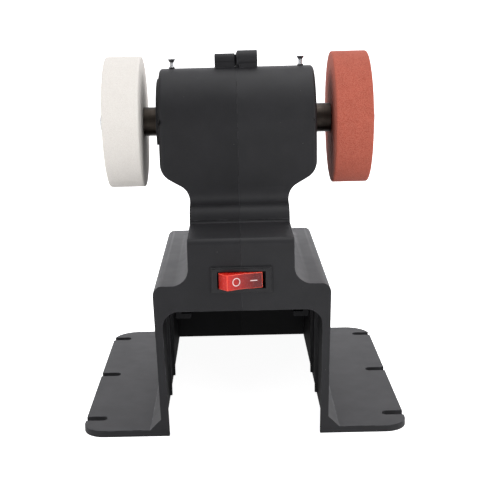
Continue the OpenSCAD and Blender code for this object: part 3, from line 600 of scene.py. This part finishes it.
# %% Lip of the left top boss
BOSS_HEIGHT = 9 * MM
BOSS_END = (-1.0 * MM, -0.3 * MM)
LIP_INSET = 0.35 * MM
LIP_PLAY = 0.02 * MM
LIP_FOOT = 5 * MM
LIP_FOOT_DROP = 1.2 * MM


def boss_lip(shape):
    """Draws the end of the left top boss out into a lip that reaches the right boss."""
    boss_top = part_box("left_housing_shell")[1][2]
    end = []
    for face in shape.faces:
        middle = face.calc_center_median()
        near_seam = BOSS_END[0] < middle.x < BOSS_END[1]
        if face.normal.x > 0.99 and near_seam and middle.z > boss_top - BOSS_HEIGHT:
            end.append(face)
    bmesh.ops.inset_region(shape, faces=end, thickness=LIP_INSET, use_even_offset=True)
    lip = bmesh.ops.extrude_face_region(shape, geom=end)
    reach = -max(face.calc_center_median().x for face in end) - LIP_PLAY
    moved = [part for part in lip["geom"] if isinstance(part, bmesh.types.BMVert)]
    bmesh.ops.delete(shape, geom=end, context="FACES")
    bmesh.ops.translate(shape, verts=moved, vec=(reach, 0, 0))
    foot = [vertex for vertex in moved if vertex.co.z < boss_top - LIP_FOOT]
    bmesh.ops.translate(shape, verts=foot, vec=(0, 0, -LIP_FOOT_DROP))
    print("the lip has", len(moved), "points,", len(foot), "of them in its foot")


# %% Soft copies of the mouldings
MOULD_RADIUS = 0.30 * MM
SLIDE_RADIUS = 0.25 * MM
CARRIER_RADIUS = 0.20 * MM
BEZEL_RADIUS = 0.15 * MM
left_shape = merged_copy("left_housing_shell")
round_edges(left_shape, MOULD_RADIUS)
boss_lip(left_shape)
make_piece("left_housing", left_shape, left_plastic, "left_housing_shell")
soft_copy("right_housing", "right_housing_shell", MOULD_RADIUS, right_plastic)
# The slide and the carrier get the darkened plastic, whose colour is painted shade.
soft_copy("slide_and_rails", "battery_slide", SLIDE_RADIUS, shaded_slide_plastic)
soft_copy("contact_carrier", "contact_block", CARRIER_RADIUS, shaded_slide_plastic)
soft_copy("switch_body", "switch_frame", BEZEL_RADIUS, switch_plastic)

# %% [markdown]
# ## Turned and pressed metal
#
# The couplers are turned on a lathe and lose their corners in a quick chamfer. The washers are
# punched, and the screws are cold headed, so their edges are a little rounder than they look.

# %% Soft copies of the metal pieces
TURNED_RADIUS = 0.40 * MM
PUNCHED_RADIUS = 0.20 * MM
HEADED_RADIUS = 0.12 * MM
for side in SIDES:
    soft_copy(side + "_turned_coupler", side + "_coupler", TURNED_RADIUS, oiled_steel, segments=3)
for side in SIDES:
    soft_copy(side + "_punched_washer", side + "_clamp_washer", PUNCHED_RADIUS, zinc)
soft_copy("wheel_clamp_screws", "clamp_screws", HEADED_RADIUS, zinc)
soft_copy("shell_joining_screws", "housing_screws", HEADED_RADIUS, black_oxide)

# %% [markdown]
# ## Wheels
#
# A wheel is spun from its half section, the way a potter would turn it. The section starts as
# four corners, the two outer ones are rounded, and its long sides are cut into short steps so
# that the surface can be uneven. Real wheels lose grit first at their edges, so noise pushes
# the surface in a little everywhere and takes small chips out of it here and there.

# %% Draw a half section and spin it
def half_section(shape, outline, centre, axis, across):
    """Draws (radius, height) points beside an axis, closed unless they start and end on it."""
    points = [shape.verts.new(centre + across * radius + axis * height) for radius, height in outline]
    pairs = list(zip(points, points[1:]))
    if outline[0][0] > 0 or outline[-1][0] > 0:
        pairs.append((points[-1], points[0]))
    edges = [shape.edges.new(pair) for pair in pairs]
    return points, edges


def full_turn(shape, geometry, centre, axis, steps):
    """Spins a half section once round its axis."""
    bmesh.ops.spin(
        shape, geom=geometry, cent=centre, axis=axis, dvec=(0, 0, 0), angle=2 * math.pi,
        space=Matrix.Identity(4), steps=steps, use_merge=True, use_normal_flip=False, use_duplicate=False,
    )


def clean_turn(shape, geometry, centre, axis, steps):
    """A full turn without doubles, and with its faces pointing outwards."""
    full_turn(shape, geometry, centre, axis, steps)
    bmesh.ops.remove_doubles(shape, verts=shape.verts, dist=0.001 * MM)
    bmesh.ops.recalc_face_normals(shape, faces=shape.faces)


# %% Take grit off a wheel
WAVE_SIZE = 4 * MM
WAVE_SHARE = 0.25
CHIP_SIZE = 1.6 * MM
CHIP_START = 0.30
CHIP_SHARE = 1.6
BORE_LIP = 0.1 * MM


def wear_down(shape, bore, wear):
    """Moves the surface of a wheel in by uneven amounts, apart from its bore."""
    lost = {}
    for vertex in shape.verts:
        wave = 0.5 + 0.5 * noise.noise(vertex.co / WAVE_SIZE)
        chip = max(0.0, noise.noise(vertex.co / CHIP_SIZE) - CHIP_START)
        lost[vertex] = wear * (WAVE_SHARE * wave + CHIP_SHARE * chip)
    for vertex, depth in lost.items():
        if (vertex.co - SPINDLE).yz.length > bore + BORE_LIP:
            vertex.co -= vertex.normal * depth


# %% The two wheels
WHEEL_EDGE = 1.0 * MM
WHEEL_STEP = 0.8 * MM
WHEEL_FACETS = 240


def grit_wheel(piece_name, node_name, side, finish, wear):
    """A wheel in the place of a CAD wheel, with worn edges and shallow chips."""
    low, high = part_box(node_name)
    radius = (high[2] - low[2]) / 2
    bore = min((vertex.co - SPINDLE).yz.length for vertex in nodes[node_name].data.vertices)
    near, far = sorted((abs(low[0]), abs(high[0])))
    shape = bmesh.new()
    corners = [(bore, near), (radius, near), (radius, far), (bore, far)]
    axis = Vector((side, 0, 0))
    points = half_section(shape, corners, SPINDLE, axis, Vector((0, 0, 1)))[0]
    bmesh.ops.bevel(
        shape, geom=points[1:3], offset=WHEEL_EDGE, offset_type="OFFSET", segments=4, profile=0.5,
        affect="VERTICES", clamp_overlap=False, material=-1,
    )
    for edge in list(shape.edges):
        cuts = int(edge.calc_length() / WHEEL_STEP) - 1
        if cuts > 0:
            bmesh.ops.subdivide_edges(shape, edges=[edge], cuts=cuts)
    clean_turn(shape, shape.verts[:] + shape.edges[:], SPINDLE, (1, 0, 0), WHEEL_FACETS)
    wear_down(shape, bore, wear)
    return make_piece(piece_name, shape, finish, node_name)


grit_wheel("white_grinding_wheel", "white_wheel", SIDES["left"], white_grit, wear=0.05 * MM)
grit_wheel("red_grinding_wheel", "red_wheel", SIDES["right"], red_grit, wear=0.12 * MM)

# %% [markdown]
# ## Screws on top
#
# Two small screws stand proud of the housing. The shank has a real thread: an outline of one
# groove is spun and lifted by one pitch each turn, so every turn meets the next one. The head
# is countersunk, so its underside is a cone. Its top is cut by four planes each way, and the
# faces that form a cross between them are sunk as one region.

# %% Threaded shank
THREAD_STEPS = 20


def screw_thread(shape, foot, radius, depth, pitch, turns):
    """A helical thread that climbs from a foot point. Its ends are closed."""
    root = radius - depth
    groove = [(root, 0.0), (radius, 0.35 * pitch), (radius, 0.5 * pitch), (root, pitch)]
    points = [shape.verts.new(foot + Vector((reach, 0, height))) for reach, height in groove]
    edges = [shape.edges.new(pair) for pair in zip(points, points[1:])]
    bmesh.ops.spin(
        shape, geom=points + edges, cent=foot, axis=(0, 0, 1), dvec=(0, 0, pitch / THREAD_STEPS),
        angle=2 * math.pi * turns, space=Matrix.Identity(4), steps=THREAD_STEPS * turns,
        use_merge=False, use_normal_flip=False, use_duplicate=False,
    )
    bmesh.ops.remove_doubles(shape, verts=shape.verts, dist=0.003 * MM)
    bmesh.ops.holes_fill(shape, edges=shape.edges, sides=0)
    bmesh.ops.triangulate(shape, faces=[face for face in shape.faces if len(face.verts) > 4])


# %% Countersunk head
HEAD_FACETS = 32
RIM_ROUND = 0.15


def with_corners(faces):
    """Some faces with all their edges and points, each one once and always in this order."""
    return list(dict.fromkeys(part for face in faces for part in (*face.verts, *face.edges, face)))


def countersunk_head(shape, top, radius, neck, cone, rim):
    """A round head below a top point: a short rim with a small chamfer, then a cone."""
    before = set(shape.faces)
    chamfer = RIM_ROUND * rim
    outline = [
        (0.0, -rim - cone), (neck, -rim - cone), (radius, -rim), (radius, -chamfer),
        (radius - chamfer, 0.0), (0.0, 0.0),
    ]
    points, edges = half_section(shape, outline, top, Vector((0, 0, 1)), Vector((1, 0, 0)))
    full_turn(shape, points + edges, top, (0, 0, 1), HEAD_FACETS)
    head = with_corners(face for face in shape.faces if face not in before)
    corners = [part for part in head if isinstance(part, bmesh.types.BMVert)]
    bmesh.ops.remove_doubles(shape, verts=corners, dist=0.003 * MM)


# %% Cross recess
CROSS_REACH = 0.62
CROSS_DEPTH = 0.45
FLAT = 0.01 * MM


def cross_recess(shape, top, radius, height, slot):
    """Sinks a cross into the flat top of a head."""
    half = slot / 2
    reach = CROSS_REACH * radius
    for across in (Vector((1, 0, 0)), Vector((0, 1, 0))):
        for offset in (-reach, -half, half, reach):
            flat = [face for face in shape.faces if abs(face.calc_center_median().z - top.z) < FLAT]
            bmesh.ops.bisect_plane(
                shape, geom=with_corners(flat), dist=0.0005 * MM,
                plane_co=top + across * offset, plane_no=across,
            )
    cross = []
    for face in shape.faces:
        middle = face.calc_center_median() - top
        short, long = sorted((abs(middle.x), abs(middle.y)))
        if abs(middle.z) <= FLAT and short < half and long < reach:
            cross.append(face)
    sunk = bmesh.ops.extrude_face_region(shape, geom=cross)
    moved = [part for part in sunk["geom"] if isinstance(part, bmesh.types.BMVert)]
    bmesh.ops.delete(shape, geom=cross, context="FACES")
    bmesh.ops.translate(shape, verts=moved, vec=(0, 0, -CROSS_DEPTH * height))


# %% The two top screws
SCREW_HEAD = 2.25 * MM
SCREW_NECK = 0.95 * MM
CROSS_SLOT = 0.55 * MM
THREAD_PITCH = 0.7 * MM
THREAD_RADIUS = 1.25 * MM
THREAD_DEPTH = 0.28 * MM


def top_screw_pair():
    """Both proud screws as one piece, where the CAD has them."""
    low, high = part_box("top_screws")
    radius = (high[1] - low[1]) / 2
    cone = SCREW_HEAD - SCREW_RIM
    turns = int((high[2] - cone - low[2]) / THREAD_PITCH)
    shape = bmesh.new()
    for side in SIDES.values():
        middle = Vector((side * (high[0] - radius), SPINDLE.y, 0))
        top = middle + Vector((0, 0, high[2]))
        countersunk_head(shape, top, radius, SCREW_NECK, cone, SCREW_RIM)
        cross_recess(shape, top, radius, cone + SCREW_RIM, CROSS_SLOT)
        foot = middle + Vector((0, 0, high[2] - cone - turns * THREAD_PITCH))
        screw_thread(shape, foot, THREAD_RADIUS, THREAD_DEPTH, THREAD_PITCH, turns)
    bmesh.ops.recalc_face_normals(shape, faces=shape.faces)
    return make_piece("top_screws_threaded", shape, screw_zinc, "top_screws")


top_screw_pair()

# %% [markdown]
# ## Rocker and its marks
#
# The rocker is a soft copy in three segments, because a clear moulding has polished edges, and
# its finish paints a highlight on them. The ring and the bar are paint in a shallow emboss. Each
# is modelled flat, turned to the slope of the rocker's face where a ray from the front meets it,
# and set so that it stands just proud of that face.

# %% Rocker
POLISHED_RADIUS = 0.30 * MM
soft_copy("rocker_cap", "switch_rocker", POLISHED_RADIUS, rocker_red, segments=3)
rocker_shape = bmesh.new()
rocker_shape.from_mesh(nodes["switch_rocker"].data)
rocker_face = BVHTree.FromBMesh(rocker_shape)
rocker_shape.free()


def on_the_rocker(x, z):
    """The point where the rocker's face meets a ray from the front, and the way it faces."""
    in_front = Vector((x, ROCKER.y - 50 * MM, z))
    return rocker_face.ray_cast(in_front, Vector((0, 1, 0)))[:2]


# %% Marks on the rocker
MARK_PROUD = 0.04 * MM
MARK_HEIGHT = ROCKER.z + 0.05 * MM
RING_PLACE = -2.65 * MM
RING_INNER = 1.75 * MM
RING_OUTER = 2.20 * MM
RING_FACETS = 48
BAR_PLACE = 6.3 * MM
BAR_LENGTH = 3.7 * MM
BAR_WIDTH = 0.45 * MM


def rocker_marks():
    """A ring for off and a bar for on, as one piece."""
    shape = bmesh.new()
    point, facing = on_the_rocker(RING_PLACE, MARK_HEIGHT)
    ring = [
        (RING_INNER, -MARK_PROUD), (RING_INNER, MARK_PROUD),
        (RING_OUTER, MARK_PROUD), (RING_OUTER, -MARK_PROUD),
    ]
    points, edges = half_section(shape, ring, point, facing, Vector((0, 0, 1)))
    clean_turn(shape, points + edges, point, facing, RING_FACETS)
    point, facing = on_the_rocker(BAR_PLACE, MARK_HEIGHT)
    bar = bmesh.ops.create_cube(shape, size=1.0)["verts"]
    bmesh.ops.scale(shape, verts=bar, vec=(BAR_LENGTH, 2 * MARK_PROUD, BAR_WIDTH))
    turn = Vector((0, -1, 0)).rotation_difference(facing).to_matrix()
    bmesh.ops.rotate(shape, verts=bar, cent=(0, 0, 0), matrix=turn)
    bmesh.ops.translate(shape, verts=bar, vec=point)
    marks = add_object("rocker_marks", shape, mark_paint)
    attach(marks, BODIES["switch_rocker"])
    return marks


marks = rocker_marks()
print("marks:", len(marks.data.polygons), "faces")

# %% [markdown]
# ## Finish the CAD nodes that stay
#
# The pieces inside the motor and behind the switch already have the right shape, so they keep
# their mesh and only swap the material in their first slot.

# %% Hand out materials
FINISHES = {
    "coupler_grub_screws": black_oxide,
    "motor_can": can_steel,
    "field_magnets": magnet_ceramic,
    "left_end_cap": cap_enamel,
    "right_end_cap": cap_enamel,
    "left_bearing": ground_steel,
    "right_bearing": ground_steel,
    "brush_holders": brass,
    "carbon_brushes": brush_carbon,
    "motor_tabs": brass,
    "spindle_shaft": ground_steel,
    "armature_core": core_steel,
    "armature_winding": copper,
    "commutator": copper,
    "switch_tabs": brass,
    "battery_contacts": brass,
}
for name, finish in FINISHES.items():
    nodes[name].data.materials.clear()
    nodes[name].data.materials.append(finish)
print(len(FINISHES), "CAD nodes keep their mesh")

# %% [markdown]
# ## Floor and light
#
# The product stands on white, and its own shadow hardly shows. The camera therefore sees the
# floor as a lit white sheet with only a breath of shadow on it. The room is dim on the
# camera's side and bright behind, and a still brighter glow low down at the back reflects in
# the tops of the dark plastic and makes them pale grey, while the front faces stay dark. Two
# soft lamps above and four low ones round the part shape the wheels and the sides.

# %% Floor
FLOOR_REACH = 6.0
FLOOR_GLOW = 0.14
FLOOR_GLOW_SEEN = 0.95


def pale_floor():
    """A wide pale floor under the feet. The camera sees it nearly white."""
    material, tree, shader = new_material("pale floor")
    shader.inputs["Base Color"].default_value = (*grey(0.86), 1)
    shader.inputs["Roughness"].default_value = 0.9
    shader.inputs["Specular IOR Level"].default_value = 0.1
    shader.inputs["Emission Color"].default_value = (*grey(1), 1)
    path = tree.nodes.new("ShaderNodeLightPath")
    glow = span(tree, path.outputs["Is Camera Ray"], FLOOR_GLOW, FLOOR_GLOW_SEEN, 0, 1)
    tree.links.new(glow, shader.inputs["Emission Strength"])
    shape = bmesh.new()
    bmesh.ops.create_grid(shape, x_segments=1, y_segments=1, size=FLOOR_REACH)
    floor = add_object("floor", shape, material)
    return floor


floor = pale_floor()
print("floor at height", floor.location.z)

# %% Room light
ROOM_TINT = (0.97, 0.965, 1, 1)
ROOM_SEEN = 2
# How far a direction points to the back, from -1 at the camera's side to 1 straight behind.
FRONT_ENDS = -0.6
SIDES_START = 0.2
GLOW_STARTS = 0.90
GLOW_FULL = 0.995


def room_light(front, side, back):
    """A room that is dim in front, bright round the sides and brightest straight behind."""
    world = bpy.data.worlds.new("room")
    world.use_nodes = True
    tree = world.node_tree
    background = tree.nodes["Background"]
    background.inputs["Color"].default_value = ROOM_TINT
    place = tree.nodes.new("ShaderNodeTexCoord")
    parts = tree.nodes.new("ShaderNodeSeparateXYZ")
    tree.links.new(place.outputs["Generated"], parts.inputs["Vector"])
    around = span(tree, parts.outputs["Y"], front, side, FRONT_ENDS, SIDES_START)
    behind = span(tree, parts.outputs["Y"], 0, back - side, GLOW_STARTS, GLOW_FULL)
    light = join_numbers(tree, "ADD", around, behind)
    path = tree.nodes.new("ShaderNodeLightPath")
    seen = span(tree, path.outputs["Is Camera Ray"], 0, ROOM_SEEN, 0, 1)
    tree.links.new(join_numbers(tree, "MAXIMUM", light, seen), background.inputs["Strength"])
    bpy.context.scene.world = world


room_light(front=0.40, side=0.95, back=3.00)

# %% Soft lamps
LAMP_AIM = Vector((0, 0, 0.1))
LAMPS = {
    "top front light": ((0.25, -0.4, 1.5), 1.0, 5),
    "top back light": ((0.25, 0.35, 1.45), 1.0, 4.5),
    "left light": ((-1.1, -1.1, 0.38), 0.9, 6.5),
    "right light": ((1.1, -1.1, 0.38), 0.9, 7.5),
    "back left light": ((-1.2, 1.0, 0.45), 0.9, 4),
    "back right light": ((1.2, 1.0, 0.45), 0.9, 4),
}


def soft_box(name, place, size, power):
    """A square area light at a place, turned towards the part."""
    lamp = bpy.data.lights.new(name, "AREA")
    lamp.shape = "SQUARE"
    lamp.size = size
    lamp.energy = power
    box = bpy.data.objects.new(name, lamp)
    box.location = place
    box.rotation_mode = "QUATERNION"
    box.rotation_quaternion = (LAMP_AIM - Vector(place)).to_track_quat("-Z", "Y")
    bpy.context.scene.collection.objects.link(box)


for name, (place, size, power) in LAMPS.items():
    soft_box(name, place, size, power)
print("lamps:", ", ".join(LAMPS))

# %% [markdown]
# ## Camera
#
# The camera was found by laying the CAD model over the photograph until both wheels, the base
# and the feet met their outlines. It stands about 0.6 m away and looks down by 14 degrees. The
# photograph isn't centred on the lens, so the frame is shifted a little.

# %% Camera
PHOTO_SIDE = 480
FOCAL_PIXELS = 1034.5
SENSOR_WIDTH = 36
EYE = Vector((-2.5, -598.65, 220.0)) * MM
DOWN = math.radians(13.735)
TURN = math.radians(-0.925)
ROLL = math.radians(1.57)
SHIFT_RIGHT = 20.0
SHIFT_UP = 23.65


def photo_camera():
    """A camera at the photograph's place, with its turn, lens and shift."""
    forward = Vector((
        math.sin(TURN) * math.cos(DOWN),
        math.cos(TURN) * math.cos(DOWN),
        -math.sin(DOWN),
    ))
    level = Vector((math.cos(TURN), -math.sin(TURN), 0))
    below = forward.cross(level)
    right = math.cos(ROLL) * level + math.sin(ROLL) * below
    down = -math.sin(ROLL) * level + math.cos(ROLL) * below
    data = bpy.data.cameras.new("photo camera")
    data.sensor_width = SENSOR_WIDTH
    data.lens = FOCAL_PIXELS / PHOTO_SIDE * SENSOR_WIDTH
    data.shift_x = SHIFT_RIGHT / PHOTO_SIDE
    data.shift_y = SHIFT_UP / PHOTO_SIDE
    data.clip_start = 0.01
    camera = bpy.data.objects.new("photo camera", data)
    turn = Matrix((right, -down, -forward)).transposed().to_4x4()
    camera.matrix_world = Matrix.Translation(EYE) @ turn
    bpy.context.scene.collection.objects.link(camera)
    bpy.context.scene.camera = camera
    return camera


camera = photo_camera()
bpy.context.scene.view_settings.view_transform = "Standard"
print("camera lens", round(camera.data.lens, 2), "mm")
